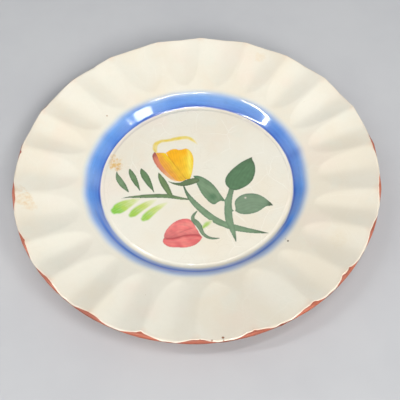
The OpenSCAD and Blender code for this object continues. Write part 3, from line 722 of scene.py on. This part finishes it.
B, F = Stroke.brush, Stroke.fill
TULIP_L = [[-22, 26.8], [-18.6, 19.5], [-14.5, 12.6], [-10.8, 6.4], [-8.2, 1.4]]
UNDER_L = [[-22, 26.8], [-17.6, 20.0], [-13.5, 13.1], [-9.8, 6.9], [-7.3, 1.2]]
strokes = [
    ("tulip_crown_line", B([[-29.3, 27.5, 3.4], [-29.9, 31.4, 4.9], [-29, 35.4, 4.9], [-25.4, 37.7, 4.2], [-20.5, 38.2, 4.0], [-15, 39.2, 4.6], [-8.5, 40.1, 4.7], [-4.0, 39.3, 4.3], [-0.5, 36.4, 3.5], [2.2, 32.8, 1.4]]), crown_c, 0, 0.6, 1.0),
    ("tulip_left_petal", F([[[-30.2, 27.4], [-27.5, 27.3], [-24.6, 27.0], [-22, 26.8]], UNDER_L, [[-7.3, 1.2], [-11.5, -0.2], [-15.5, 0.9]], [[-15.5, 0.9], [-20, 6.0], [-25.2, 13], [-29.6, 19.5], [-31.4, 23.4], [-30.2, 27.4]]], [[-26, 27], [-20, 16], [-12, 1]]), left_petal_c, 0, 0.5, 0.3),
    ("tulip_middle_petal", F([[[-22, 26.8], [-20.2, 28.2], [-17.8, 29.6], [-14.8, 30.2], [-12.2, 29.2], [-9.8, 29.3], [-7, 30.0], [-4.6, 28.9], [-2.4, 25.4], [-1.2, 20], [-1.7, 13], [-2.9, 6.5], [-4.4, 1.6]], [[-4.4, 1.6], [-8.2, 1.4]], TULIP_L[::-1]], [[-12, 30], [-10.5, 16], [-6.4, 1.5]]), middle_petal_c, 1, 0.5, 0.3),
    ("tulip_side_petal", B([[-29.9, 27.6, 1.4], [-30.1, 25, 3.9], [-29.3, 21.5, 4.6], [-27.4, 16.6, 4.4], [-24.4, 11.4, 4.0], [-20.8, 6.6, 3.2], [-17.4, 2.8, 2.4], [-14.6, 0.4, 1.0]]), side_petal_c, 2, 0.5, 0.35),
    ("middle_leaf", F([[[-2.4, 4.9], [0.5, 4.8], [3.6, 3.8], [7.4, 1.2], [11.2, -2.6], [14.6, -8], [17.2, -13], [19.4, -17.4]], [[19.4, -17.4], [18.6, -18.6], [16.4, -18.3], [14.4, -19.2], [12.4, -20.7], [10.2, -20.4], [7.6, -18], [4.8, -14], [2.4, -9.6], [0.9, -5.6], [0.0, -3], [-0.8, 0.4], [-2.4, 4.9]]], [[-1.5, 3], [5, -4], [11, -12], [15, -20]]), middle_leaf_c, 1, 0.5, 0.3),
    ("main_stem", B([[-9.6, -2.6, 1.4], [-8.6, -6.4, 1.9], [-6.8, -11, 2.9], [-4.2, -15.8, 4.0], [-1.0, -20.2, 4.8], [3, -25, 5.2], [7.8, -30, 5.6], [12.6, -34, 5.5], [17.4, -37, 5.2], [22.6, -39.4, 5.2], [29, -41.6, 4.9], [36, -43.5, 3.9], [42.6, -45, 2.2], [48.3, -46.1, 0.3]]), leaf_colour(G_MID, G_MID_E, G_DEEP, 181, tip=0.9, root=0.75, width=0.9), 0, 0.5, 0.3),
    ("branch_stem", F([[[22.9, -7.4], [21.6, -11.8], [19.6, -16.4], [18.6, -17.8], [18.9, -20], [18.3, -25], [18.2, -30], [18.6, -35], [20.2, -40], [22.0, -45], [23.9, -50], [24.9, -52.7]], [[24.9, -52.7], [25.3, -50], [25.4, -45], [25.0, -40], [24.3, -35], [24.1, -30], [24.1, -27.8], [25.5, -26.6], [24.3, -25.2], [24.4, -20], [25.2, -15], [26.4, -10.5], [26.9, -8.6]], [[26.9, -8.6], [22.9, -7.4]]], [[24.9, -8], [22.5, -18], [21.2, -30], [22.6, -41], [24.9, -52]]), leaf_colour(G_MID, G_MID_E, G_DEEP, 191, tip=0.85, root=0.3, width=0.9), 2, 0.5, 0.3),
    ("upper_leaf", F([[[23.2, -8.2], [21.2, -5.6], [20.4, -2.2], [20.9, 1.0], [22.6, 4.2], [25.4, 7.8], [29.6, 11.8], [34.2, 15.2], [38.4, 17.5], [41.4, 18.9], [42.5, 19.5]], [[42.5, 19.5], [41.9, 17.4], [42.9, 14], [43.5, 10.4], [43.1, 5.4], [41.9, 1.2], [39.8, -2.8], [36.6, -6.1], [32.4, -8.5], [27.6, -9.9], [23.2, -8.2]]], [[24, -9], [32, 3], [41.5, 18]]), upper_leaf_c, 3, 0.5, 0.3),
    ("right_leaf", F([[[25.7, -27.0], [26.2, -24.6], [25.9, -21.2], [26.6, -18.2], [28.6, -15.8], [31.6, -13.8], [35.4, -12.8], [40.2, -13.0], [44.4, -14.6], [47.8, -17.2], [50.6, -20.2], [52.2, -22.3], [53.2, -24.2]], [[53.2, -24.2], [50.4, -24.4], [48, -24.6], [44.8, -26.7], [41.4, -28.8], [37.4, -29.9], [33, -30.2], [29.6, -29.6], [27.2, -28.2], [25.7, -27.0]]], [[25.5, -25], [38, -21.5], [52, -24]]), right_leaf_c, 1, 0.5, 0.3),
    ("tulip_cup", B([[-20.6, 0.9, 0.5], [-17.6, -0.8, 1.5], [-14.4, -1.9, 2.5], [-11, -2.2, 3.8], [-7.4, -1.4, 5.4], [-3.8, -0.4, 5.7], [-0.8, 0.4, 4.9], [1.2, 0.6, 3.6]]), cup_c, 3, 0.5, 0.3),
    ("fern_stem", B([[-56.4, -12.5, 0.25], [-50, -11.1, 1.2], [-45, -10.9, 2.1], [-40, -10.9, 3.0], [-35, -10.9, 3.4], [-30, -11.0, 3.7], [-25, -11.4, 3.7], [-20, -12.0, 3.8], [-15, -13.4, 3.1], [-10, -14.7, 2.3], [-4.6, -15.7, 1.0]]), leaf_colour(srgb(84, 120, 80), srgb(54, 88, 56), G_DEEP, 201, tip=0.3, root=0.8, width=0.8), 1, 0.5, 0.3),
    ("fern_leaflet_1", B([[-58.0, 12.0, 0.5], [-57.4, 8.6, 2.8], [-56.2, 5.2, 4.5], [-54.2, 1.4, 4.9], [-52.0, -2.0, 4.0], [-50.2, -4.6, 2.4], [-48.9, -6.6, 1.2]]), leaf_colour(srgb(82, 122, 86), srgb(52, 88, 56), G_DEEP, 211, tip=0.8, root=0.5, width=0.9), 0, 0.45, 0.3),
    ("fern_leaflet_2", B([[-48.6, 13.9, 0.9], [-47.7, 10.8, 3.5], [-46.2, 7.2, 4.7], [-44.6, 3.4, 4.6], [-43.0, -0.4, 3.4], [-41.8, -3.2, 2.0], [-40.8, -5.7, 1.1]]), leaf_colour(srgb(80, 120, 84), srgb(52, 88, 56), G_DEEP, 221, tip=0.8, root=0.5, width=0.9), 0, 0.45, 0.3),
    ("fern_leaflet_3", B([[-40.2, 13.8, 0.9], [-39.3, 10.8, 3.9], [-37.4, 6.8, 5.5], [-35.4, 2.6, 5.3], [-33.2, -2.0, 3.8], [-31.8, -5.2, 2.2], [-30.6, -8.2, 1.1]]), leaf_colour(srgb(78, 122, 84), srgb(52, 90, 58), G_DEEP, 231, tip=0.8, root=0.5, width=1.0), 0, 0.45, 0.3),
    ("fern_leaflet_4", B([[-27.3, 9.0, 0.7], [-26.5, 6.2, 3.0], [-25.0, 2.4, 4.6], [-23.0, -2.0, 5.2], [-21.0, -6.4, 4.6], [-19.4, -9.8, 3.6], [-18.0, -12.4, 2.8]]), leaf_colour(srgb(86, 126, 88), srgb(56, 92, 58), G_DEEP, 241, root=0.5, width=1.0), 2, 0.45, 0.3),
    ("pale_leaflet_1", B([[-59.0, -22.2, 7.4], [-56.6, -20.8, 10.4], [-53.4, -18.9, 11.0], [-49.6, -16.8, 9.4], [-45.6, -14.9, 7.0], [-41.0, -12.9, 3.8]]), pale_c(251, 0.9), 0, 0.6, 1.3),
    ("pale_leaflet_2", B([[-47.2, -26.6, 5.4], [-45.2, -25.0, 7.6], [-42.2, -22.2, 8.0], [-38.6, -19.6, 7.4], [-34.4, -17.0, 6.4], [-29.2, -14.6, 3.6]]), pale_c(261, 0.55), 0, 0.6, 1.3),
    ("pale_leaflet_3", B([[-38.4, -30.2, 5.6], [-36.6, -28.6, 7.8], [-33.6, -25.6, 7.8], [-30.0, -22.6, 6.8], [-26.0, -19.9, 5.8], [-21.4, -17.4, 3.4]]), pale_c(271, 0.60), 0, 0.6, 1.3),
    ("bud_upper_petal", F([[[-24.2, -45.4], [-23.8, -42.6], [-22.4, -39.4], [-20.2, -36.4], [-17.2, -33.7], [-13.6, -31.7], [-9.6, -30.9], [-6.4, -31.4], [-4.2, -33.6], [-2.4, -37], [-0.6, -40.8], [1.0, -44.2], [1.5, -45.2]], [[1.5, -45.2], [-2, -44.5], [-6, -44.3], [-10, -44.6], [-14, -45.6], [-18, -46.5], [-21.4, -46.4], [-24.2, -45.4]]], [[-24, -42], [-12, -37], [0, -44]]), bud_c(281, False), 2, 0.5, 0.35),
    ("bud_lower_petal", F([[[-24.2, -45.4], [-21.4, -45.5], [-18, -45.5], [-14, -44.6], [-10, -43.6], [-6, -43.3], [-2, -43.5], [1.2, -44.8]], [[1.2, -44.8], [2.3, -46.6], [0.8, -49.2], [-1.8, -51.6], [-5.2, -53.2], [-10, -53.9], [-15.4, -53.5], [-20, -53.0], [-23, -51.3], [-24.9, -48.6], [-24.2, -45.4]]], [[-25, -48], [-12, -49.5], [1.5, -46]]), bud_c(291, True), 1, 0.5, 0.35),
    ("bud_calyx", B([[-0.3, -25.2, 0.9], [-2.2, -27.4, 2.0], [-3.6, -29.8, 2.7], [-3.5, -32.2, 3.3], [-1.6, -34.6, 4.2], [0.2, -37.2, 4.2], [1.4, -40.4, 3.3], [2.8, -43.6, 2.9], [5.2, -46.2, 2.6], [8.2, -47.6, 2.2], [11.8, -48.0, 1.5], [15.6, -47.8, 0.3]]), leaf_colour(srgb(84, 124, 88), srgb(60, 98, 68), G_DEEP, 301, tip=0.6, root=0.3, width=0.9), 3, 0.45, 0.3),
    ("bud_sprig", B([[2.8, -39.4, 3.0], [4.6, -37.4, 4.8], [6.8, -35.6, 4.8], [9.8, -33.6, 3.0]]), pale_c(311, 0.1), 0, 0.5, 0.9),
]
pieces = {}
strokes.sort(key=lambda q: q[3])
TINT = {
    "tulip_crown_line": (0.96, 0.95, 0.32), "tulip_left_petal": (0.95, 1.22, 1.0), "tulip_middle_petal": (0.95, 1.08, 0.64), "tulip_side_petal": (0.92, 1.58, 1.60),
    "tulip_cup": (1.51, 0.91, 0.84), "main_stem": (1.55, 1.14, 1.26), "branch_stem": (1.57, 1.15, 1.31), "middle_leaf": (1.11, 0.94, 0.98),
    "right_leaf": (1.22, 0.98, 1.12), "upper_leaf": (1.81, 1.06, 1.15), "fern_stem": (1.69, 1.29, 1.32), "fern_leaflet_1": (2.03, 1.44, 1.55),
    "fern_leaflet_2": (1.70, 1.29, 1.21), "fern_leaflet_3": (1.64, 1.18, 1.14), "fern_leaflet_4": (1.70, 1.19, 1.03), "pale_leaflet_1": (0.97, 0.95, 0.66),
    "pale_leaflet_2": (1.02, 0.93, 0.66), "pale_leaflet_3": (1.02, 0.95, 0.70), "bud_sprig": (0.81, 0.86, 0.66), "bud_upper_petal": (1.06, 1.78, 1.55),
    "bud_lower_petal": (0.98, 1.41, 1.26), "bud_calyx": (2.08, 1.38, 1.70),
}
for name, stroke, colour, layer, step, soft in strokes:
    stroke.name = name
    pieces[name] = film(name + "_film", stroke, colour, layer, step, soft)

# ------------------------------------------------------------------ materials


class Tree:
    def __init__(self, tree):
        self.t = tree

    def node(self, kind, **kw):
        n = self.t.nodes.new(kind)
        for k, v in kw.items():
            setattr(n, k, v)
        return n

    def put(self, sock, v):
        if isinstance(v, bpy.types.NodeSocket):
            self.t.links.new(v, sock)
        elif isinstance(v, (tuple, list, np.ndarray)):
            v = [float(q) for q in v]
            if sock.type == "RGBA" and len(v) == 3:
                v = v + [1.0]
            sock.default_value = v
        else:
            sock.default_value = float(v)

    def math(self, op, a, b=None, c=None, clamp=False):
        n = self.node("ShaderNodeMath", operation=op, use_clamp=clamp)
        for i, v in enumerate((a, b, c)):
            if v is not None:
                self.put(n.inputs[i], v)
        return n.outputs[0]

    def vmath(self, op, a, b=None, scale=None):
        n = self.node("ShaderNodeVectorMath", operation=op)
        self.put(n.inputs[0], a)
        if b is not None:
            self.put(n.inputs[1], b)
        if scale is not None:
            self.put(n.inputs["Scale"], scale)
        return n.outputs["Value"] if op in ("LENGTH", "DISTANCE", "DOT_PRODUCT") else n.outputs[0]

    def noise(self, vec, scale, detail=3.0, rough=0.5, distort=0.0):
        n = self.node("ShaderNodeTexNoise")
        self.put(n.inputs["Vector"], vec)
        self.put(n.inputs["Scale"], scale)
        self.put(n.inputs["Detail"], detail)
        self.put(n.inputs["Roughness"], rough)
        self.put(n.inputs["Distortion"], distort)
        return n.outputs[0]

    def ramp(self, v, a, b, lo=0.0, hi=1.0, kind="SMOOTHSTEP"):
        n = self.node("ShaderNodeMapRange", interpolation_type=kind)
        for i, q in enumerate((v, a, b, lo, hi)):
            self.put(n.inputs[i], q)
        return n.outputs[0]

    def mix(self, f, a, b, blend="MIX"):
        n = self.node("ShaderNodeMix", data_type="RGBA", blend_type=blend)
        n.clamp_factor = True
        self.put(n.inputs[0], f)
        self.put(n.inputs[6], a)
        self.put(n.inputs[7], b)
        return n.outputs[2]

    def spot(self, pos, x, y, radius, wobble=None, amount=0.35, soft=0.5):
        """Mask of a rough round patch at x, y in mm."""
        d = self.vmath("DISTANCE", self.vmath("MULTIPLY", pos, (1, 1, 0)), (x * MM, y * MM, 0))
        if wobble is not None:
            d = self.math("ADD", d, self.math("MULTIPLY", self.math("SUBTRACT", wobble, 0.5), radius * MM * 2 * amount))
        return self.ramp(d, radius * MM, radius * MM * (1 - soft), 0.0, 1.0)


CREAM = srgb(236, 231, 216)
CREAM_WARM = srgb(234, 225, 206)
CREAM_COOL = srgb(232, 229, 214)
CREAM_PINK = srgb(238, 222, 206)


def cream_group():
    """Colour, roughness and surface height of the cream glaze, the same wherever it is used."""
    g = bpy.data.node_groups.new("cream_glaze_look", "ShaderNodeTree")
    for nm, kind in (("Color", "NodeSocketColor"), ("Roughness", "NodeSocketFloat"), ("Height", "NodeSocketFloat")):
        g.interface.new_socket(nm, in_out="OUTPUT", socket_type=kind)
    T = Tree(g)
    out = T.node("NodeGroupOutput")
    pos = T.node("ShaderNodeTexCoord").outputs["Object"]
    big = T.noise(pos, 17, 3, 0.55)
    mid = T.noise(T.vmath("ADD", pos, (0.3, 0.1, 0.2)), 55, 4, 0.6)
    fine = T.noise(pos, 420, 4, 0.6)
    col = T.mix(T.ramp(big, 0.40, 0.66), CREAM, CREAM_WARM)
    col = T.mix(T.math("MULTIPLY", T.ramp(mid, 0.50, 0.72), 0.55), col, CREAM_COOL)
    col = T.mix(T.math("MULTIPLY", T.ramp(T.noise(T.vmath("ADD", pos, (0.9, 0.4, 0.1)), 26, 2, 0.5), 0.52, 0.75), 0.45), col, CREAM_PINK)
    col = T.mix(T.math("MULTIPLY", T.ramp(fine, 0.35, 0.75), 0.06), col, srgb(214, 204, 182))
    # crazing: a wide net and a finer one, both only in places
    warp_v = T.node("ShaderNodeTexNoise")
    T.put(warp_v.inputs["Vector"], pos)
    T.put(warp_v.inputs["Scale"], 60.0)
    shift = T.vmath("SCALE", T.vmath("SUBTRACT", warp_v.outputs["Color"], (0.5, 0.5, 0.5)), scale=0.006)
    cpos = T.vmath("ADD", pos, shift)
    in_well = T.ramp(T.vmath("LENGTH", T.vmath("MULTIPLY", pos, (1, 1, 0))), 0.076, 0.060, 0.25, 1.0)
    height = None
    for scale, width, strength, region_scale, off in ((70.0, 0.010, 0.16, 21.0, 0.0), (140.0, 0.014, 0.12, 33.0, 0.5)):
        vor = T.node("ShaderNodeTexVoronoi", feature="DISTANCE_TO_EDGE")
        T.put(vor.inputs["Vector"], T.vmath("MULTIPLY", cpos, (1.0, 1.35, 1.0)))
        T.put(vor.inputs["Scale"], scale)
        lines = T.ramp(vor.outputs["Distance"], 0.0, width, 1.0, 0.0)
        region = T.ramp(T.noise(T.vmath("ADD", pos, (off, 0.2, 0.7)), region_scale, 2, 0.5), 0.46, 0.60)
        m = T.math("MULTIPLY", T.math("MULTIPLY", lines, region), in_well)
        col = T.mix(T.math("MULTIPLY", m, strength), col, srgb(186, 168, 134))
        height = m if height is None else T.math("ADD", height, m)
    # pale hairlines in the well, where the crazed glaze catches light
    vor = T.node("ShaderNodeTexVoronoi", feature="DISTANCE_TO_EDGE")
    T.put(vor.inputs["Vector"], T.vmath("MULTIPLY", T.vmath("ADD", cpos, (0.13, 0.27, 0.0)), (1.0, 0.8, 1.0)))
    T.put(vor.inputs["Scale"], 52.0)
    pale = T.math("MULTIPLY", T.math("MULTIPLY", T.ramp(vor.outputs["Distance"], 0.0, 0.016, 1.0, 0.0), in_well), T.ramp(T.noise(pos, 24, 2, 0.5), 0.48, 0.58))
    col = T.mix(T.math("MULTIPLY", pale, 0.35), col, srgb(252, 250, 240))
    # stains and pits, in mm on the plate
    wob = T.noise(pos, 190, 4, 0.65)
    wob2 = T.noise(T.vmath("ADD", pos, (0.5, 0.5, 0.0)), 420, 3, 0.6)
    for x, y, r, c, a in ((-59.2, 19.5, 6.4, (224, 182, 108), 1.0), (-57.4, 14.5, 3.4, (216, 168, 92), 0.85), (-61.0, 26.0, 3.0, (226, 190, 124), 0.7),
                          (-118.0, -18.5, 6.5, (226, 196, 150), 0.60), (-113.5, -24.0, 5.0, (228, 200, 156), 0.45), (-121.5, -12.0, 4.0, (222, 190, 146), 0.40),
                          (55.0, 104.0, 5.0, (228, 206, 168), 0.35), (90.0, -60.0, 7.0, (228, 214, 186), 0.30)):
        m = T.spot(pos, x, y, r, wob, 1.1, 0.55)
        m = T.math("MULTIPLY", m, T.ramp(wob2, 0.36, 0.62, 0.25, 1.0))
        col = T.mix(T.math("MULTIPLY", m, a), col, srgb(*c))
    for x, y, r, c, a in ((-65.4, 57.2, 1.0, (176, 138, 100), 0.7), (58.3, -57.3, 0.85, (92, 74, 52), 0.9), (57.0, -55.4, 0.5, (160, 130, 95), 0.6),
                          (4.7, -125.4, 0.9, (150, 92, 56), 0.9), (11.3, -123.6, 1.1, (140, 84, 42), 0.95), (11.6, -125.4, 0.7, (150, 92, 56), 0.8), (-2.2, -125.0, 0.7, (168, 116, 76), 0.8),
                          (-35.0, -92.0, 0.45, (190, 168, 140), 0.5), (84.0, 58.0, 0.45, (194, 172, 144), 0.4)):
        m = T.spot(pos, x, y, r, wob2, 0.5, 0.6)
        col = T.mix(T.math("MULTIPLY", m, a), col, srgb(*c))
        height = T.math("ADD", height, T.math("MULTIPLY", m, 1.5))
    rough = T.math("ADD", 0.045, T.math("MULTIPLY", T.ramp(mid, 0.35, 0.75), 0.03))
    swell = T.math("MULTIPLY", T.noise(pos, 75, 2, 0.45), 2.2)
    hgt = T.math("SUBTRACT", T.math("ADD", swell, T.math("MULTIPLY", T.noise(pos, 900, 2, 0.5), 0.05)), T.math("MULTIPLY", height, 0.10))
    T.put(out.inputs["Color"], col)
    T.put(out.inputs["Roughness"], rough)
    T.put(out.inputs["Height"], hgt)
    return g


CREAM_LOOK = cream_group()


def material(name):
    m = bpy.data.materials.new(name)
    m.use_nodes = True
    m.node_tree.nodes.clear()
    T = Tree(m.node_tree)
    out = T.node("ShaderNodeOutputMaterial")
    bsdf = T.node("ShaderNodeBsdfPrincipled")
    m.node_tree.links.new(bsdf.outputs[0], out.inputs[0])
    return m, T, bsdf


def set_glaze(T, bsdf):
    bsdf.inputs["IOR"].default_value = 1.52
    bsdf.inputs["Metallic"].default_value = 0.0


def glaze_material():
    m, T, bsdf = material("cream_glaze_crazed")
    look = T.node("ShaderNodeGroup")
    look.node_tree = CREAM_LOOK
    thin_a = T.node("ShaderNodeAttribute", attribute_name="thin", attribute_type="GEOMETRY").outputs["Fac"]
    pos = T.node("ShaderNodeTexCoord").outputs["Object"]
    n = T.noise(pos, 260, 3, 0.6)
    f = T.math("MULTIPLY", thin_a, T.ramp(n, 0.3, 0.7, 0.25, 0.75))
    col = T.mix(T.math("MULTIPLY", f, 0.55), look.outputs["Color"], srgb(232, 196, 168))
    T.put(bsdf.inputs["Base Color"], col)
    T.put(bsdf.inputs["Roughness"], look.outputs["Roughness"])
    b = T.node("ShaderNodeBump")
    T.put(b.inputs["Strength"], 0.35)
    T.put(b.inputs["Distance"], 0.00012)
    T.put(b.inputs["Height"], look.outputs["Height"])
    T.put(bsdf.inputs["Normal"], b.outputs[0])
    set_glaze(T, bsdf)
    return m


def paint_material(name, grain=0.16, streak=(0.05, 0.9), pooled=0.0):
    """Paint in the glaze: the stroke's own colour with fine brush streaks, over the cream where it thins."""
    m, T, bsdf = material(name)
    look = T.node("ShaderNodeGroup")
    look.node_tree = CREAM_LOOK
    pa = T.node("ShaderNodeAttribute", attribute_name="paint", attribute_type="GEOMETRY")
    su = T.node("ShaderNodeAttribute", attribute_name="suv", attribute_type="GEOMETRY").outputs["Vector"]
    pos = T.node("ShaderNodeTexCoord").outputs["Object"]
    lines = T.noise(T.vmath("MULTIPLY", su, (streak[0], streak[1], 0.0)), 1.0, 4, 0.6, 0.4)
    pools = T.noise(pos, 330, 3, 0.6)
    tone = T.math("ADD", T.math("MULTIPLY", T.math("SUBTRACT", lines, 0.5), grain * 2), T.math("MULTIPLY", T.math("SUBTRACT", pools, 0.5), grain))
    light = T.math("ADD", 1.0, tone)
    col = T.vmath("SCALE", pa.outputs["Color"], scale=light)
    # A thin wash lets cream through along the streaks.
    a = T.math("SUBTRACT", pa.outputs["Alpha"], T.math("MULTIPLY", T.ramp(lines, 0.62, 0.85), 0.10), clamp=True)
    T.put(bsdf.inputs["Base Color"], T.mix(a, look.outputs["Color"], col))
    T.put(bsdf.inputs["Roughness"], T.math("ADD", look.outputs["Roughness"], T.math("MULTIPLY", a, 0.02)))
    b = T.node("ShaderNodeBump")
    T.put(b.inputs["Strength"], 0.35)
    T.put(b.inputs["Distance"], 0.00012)
    T.put(b.inputs["Height"], look.outputs["Height"])
    T.put(bsdf.inputs["Normal"], b.outputs[0])
    set_glaze(T, bsdf)
    return m


def clay_material():
    m, T, bsdf = material("red_clay_fired")
    pos = T.node("ShaderNodeTexCoord").outputs["Object"]
    big = T.noise(pos, 30, 4, 0.6)
    mid = T.noise(pos, 160, 4, 0.65)
    grit = T.noise(pos, 1300, 3, 0.7)
    xy = T.vmath("MULTIPLY", pos, (1, 1, 0))
    rad = T.vmath("LENGTH", xy)
    rings_n = T.noise(T.vmath("MULTIPLY", T.node_combine(rad, pos), (1, 1, 1)), 1.0, 3, 0.6)
    col = T.mix(T.ramp(big, 0.36, 0.66), srgb(184, 98, 70), srgb(162, 82, 58))
    col = T.mix(T.math("MULTIPLY", T.ramp(mid, 0.48, 0.75), 0.6), col, srgb(200, 120, 92))
    col = T.mix(T.math("MULTIPLY", T.ramp(rings_n, 0.45, 0.70), 0.35), col, srgb(144, 72, 52))
    col = T.mix(T.math("MULTIPLY", T.ramp(grit, 0.62, 0.80), 0.45), col, srgb(132, 66, 46))
    col = T.mix(T.math("MULTIPLY", T.ramp(grit, 0.34, 0.22), 0.40), col, srgb(226, 164, 130))
    # The foot's bearing face is rubbed paler.
    z = T.node("ShaderNodeSeparateXYZ")
    T.put(z.inputs[0], pos)
    foot = T.ramp(z.outputs[2], 0.0012, 0.0001)
    col = T.mix(T.math("MULTIPLY", foot, T.ramp(mid, 0.35, 0.65, 0.35, 0.8)), col, srgb(206, 148, 120))
    # Painted shade: the clay is darker at the bottom of the rim's outer wall, where it turns under the edge.
    under_edge_shade = T.math("MULTIPLY", T.ramp(z.outputs[2], 0.0252, 0.0236), T.ramp(rad, 0.124, 0.126))
    col = T.mix(T.math("MULTIPLY", under_edge_shade, 0.55), col, srgb(128, 66, 46))
    T.put(bsdf.inputs["Base Color"], col)
    T.put(bsdf.inputs["Roughness"], T.ramp(mid, 0.3, 0.7, 0.50, 0.68))
    b = T.node("ShaderNodeBump")
    T.put(b.inputs["Strength"], 0.6)
    T.put(b.inputs["Distance"], 0.00025)
    T.put(b.inputs["Height"], T.math("ADD", T.math("MULTIPLY", grit, 0.6), T.math("MULTIPLY", mid, 0.7)))
    T.put(bsdf.inputs["Normal"], b.outputs[0])
    bsdf.inputs["IOR"].default_value = 1.45
    return m


def _combine(self, rad, pos):
    """Coordinates that vary with radius and slowly round the plate, for turning marks."""
    n = self.node("ShaderNodeCombineXYZ")
    sep = self.node("ShaderNodeSeparateXYZ")
    self.put(sep.inputs[0], pos)
    self.put(n.inputs[0], self.math("MULTIPLY", rad, 900.0))
    self.put(n.inputs[1], self.math("MULTIPLY", sep.outputs[0], 12.0))
    self.put(n.inputs[2], self.math("MULTIPLY", sep.outputs[1], 12.0))
    return n.outputs[0]


Tree.node_combine = _combine


def floor_material():
    m, T, bsdf = material("studio_floor")
    pos = T.node("ShaderNodeTexCoord").outputs["Object"]
    n = T.noise(pos, 9, 4, 0.6)
    T.put(bsdf.inputs["Base Color"], T.mix(T.ramp(n, 0.3, 0.7), srgb(196, 197, 199), srgb(190, 191, 194)))
    T.put(bsdf.inputs["Roughness"], 0.8)
    bsdf.inputs["Specular IOR Level"].default_value = 0.2
    return m


glaze.data.materials.append(glaze_material())
clay.data.materials.append(clay_material())
band.data.materials.append(paint_material("blue_band_paint", grain=0.17, streak=(0.05, 0.85)))
slots = {}
for s in frame["record"]["subparts"]:
    slots[s["node"]] = s["material_slot"]
by_slot = {}
for name, ob in pieces.items():
    sl = slots[name]
    if sl not in by_slot:
        grain = 0.13 if "green" in sl else 0.09
        by_slot[sl] = paint_material(sl + "_look", grain=grain, streak=(0.07, 1.1))
    ob.data.materials.append(by_slot[sl])

# ------------------------------------------------------------------ ties to the frame
ride = [(glaze, "cream_glaze"), (clay, "clay_body"), (band, "blue_band")] + [(ob, name) for name, ob in pieces.items()]
for ob, node in ride:
    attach(ob, "root")
    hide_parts(node)

# ------------------------------------------------------------------ stage, light and camera
fm = bpy.data.meshes.new("studio_floor")
fm.from_pydata([(-6, -6, 0), (6, -6, 0), (6, 6, 0), (-6, 6, 0)], [], [(0, 1, 2, 3)])
floor = bpy.data.objects.new("studio_floor", fm)
bpy.context.scene.collection.objects.link(floor)
fm.materials.append(floor_material())

world = bpy.data.worlds.new("soft_room")
world.use_nodes = True
bg = world.node_tree.nodes["Background"]
bg.inputs[0].default_value = (0.92, 0.96, 1.0, 1)
bg.inputs[1].default_value = 0.27
bpy.context.scene.world = world

TARGET = Vector((0, 0, 0.018))


def area(name, direction, distance, size, radiance, colour=(1, 1, 1), size_y=None, spin=None, at=None):
    """An area light of a given radiance, facing the plate."""
    li = bpy.data.lights.new(name, "AREA")
    li.shape = "RECTANGLE"
    li.size = size
    li.size_y = size_y or size
    li.energy = radiance * math.pi * li.size * li.size_y
    li.color = colour
    ob = bpy.data.objects.new(name, li)
    bpy.context.scene.collection.objects.link(ob)
    pos = Vector(at) if at is not None else TARGET + Vector(direction).normalized() * distance
    z = (pos - TARGET).normalized()
    if spin is None:
        x = Vector((0, 0, 1)).cross(z)
        if x.length < 1e-3:
            x = Vector((1, 0, 0))
    else:
        x = Vector(spin).normalized()
        z = (z - x * z.dot(x)).normalized()
    x.normalize()
    y = z.cross(x)
    ob.matrix_world = Matrix(((x.x, y.x, z.x, pos.x), (x.y, y.y, z.y, pos.y), (x.z, y.z, z.z, pos.z), (0, 0, 0, 1)))
    return ob


def from_angles(az, el):
    a, e = math.radians(az), math.radians(el)
    return (math.cos(e) * math.cos(a), math.cos(e) * math.sin(a), math.sin(e))


area("front_light", from_angles(281, 36), 2.2, 0.8, 16.2, (1.0, 0.985, 0.96))
area("key_window", (0.572, -0.385, 0.7227), 2.0, 0.42, 20.0, (1.0, 0.99, 0.97), size_y=0.31)
STRIP_R = dict(at=(0.135, -0.23, 1.5), spin=(1, 0.154, 0))
STRIP_L = dict(at=(-1.2, -0.227, 1.5), spin=(1, 0.163, 0))
for lamp in (area("strip_over_right", None, 0, 0.66, 36.0, (1, 1, 1), size_y=0.05, **STRIP_R),
             area("strip_over_left", None, 0, 1.27, 36.0, (1, 1, 1), size_y=0.05, **STRIP_L)):
    lamp.visible_glossy = False
# The lamps' glints are brighter than their light on the clay: these three show only in the gloss.
for glint in (area("side_window", (0.690, -0.268, 0.6725), 2.0, 0.075, 130.0, (1.0, 0.99, 0.97)),
              area("glint_right", None, 0, 0.66, 420.0, (1, 1, 1), size_y=0.018, **STRIP_R),
              area("glint_left", None, 0, 1.27, 560.0, (1, 1, 1), size_y=0.03, **STRIP_L)):
    glint.visible_diffuse = False

cam = bpy.data.cameras.new("camera")
cam.lens, cam.sensor_width, cam.sensor_fit = 54.0, 36.0, "HORIZONTAL"
cam.clip_start, cam.clip_end = 0.01, 50
co_ = bpy.data.objects.new("camera", cam)
bpy.context.scene.collection.objects.link(co_)
RX, UY, FW = Vector((0.99872817, -0.04253209, -0.02707507)), Vector((0.05041863, 0.84250606, 0.5363222)), Vector((0.0, 0.53700518, -0.84357895))
BK = RX.cross(UY)
P = Vector((0.00188, -0.24407591, 0.36557287))
co_.matrix_world = Matrix(((RX.x, UY.x, BK.x, P.x), (RX.y, UY.y, BK.y, P.y), (RX.z, UY.z, BK.z, P.z), (0, 0, 0, 1)))
bpy.context.scene.camera = co_
bpy.context.scene.view_settings.view_transform = "Standard"
bpy.context.scene.view_settings.look = "None"
bpy.context.scene.view_settings.exposure = 0.0
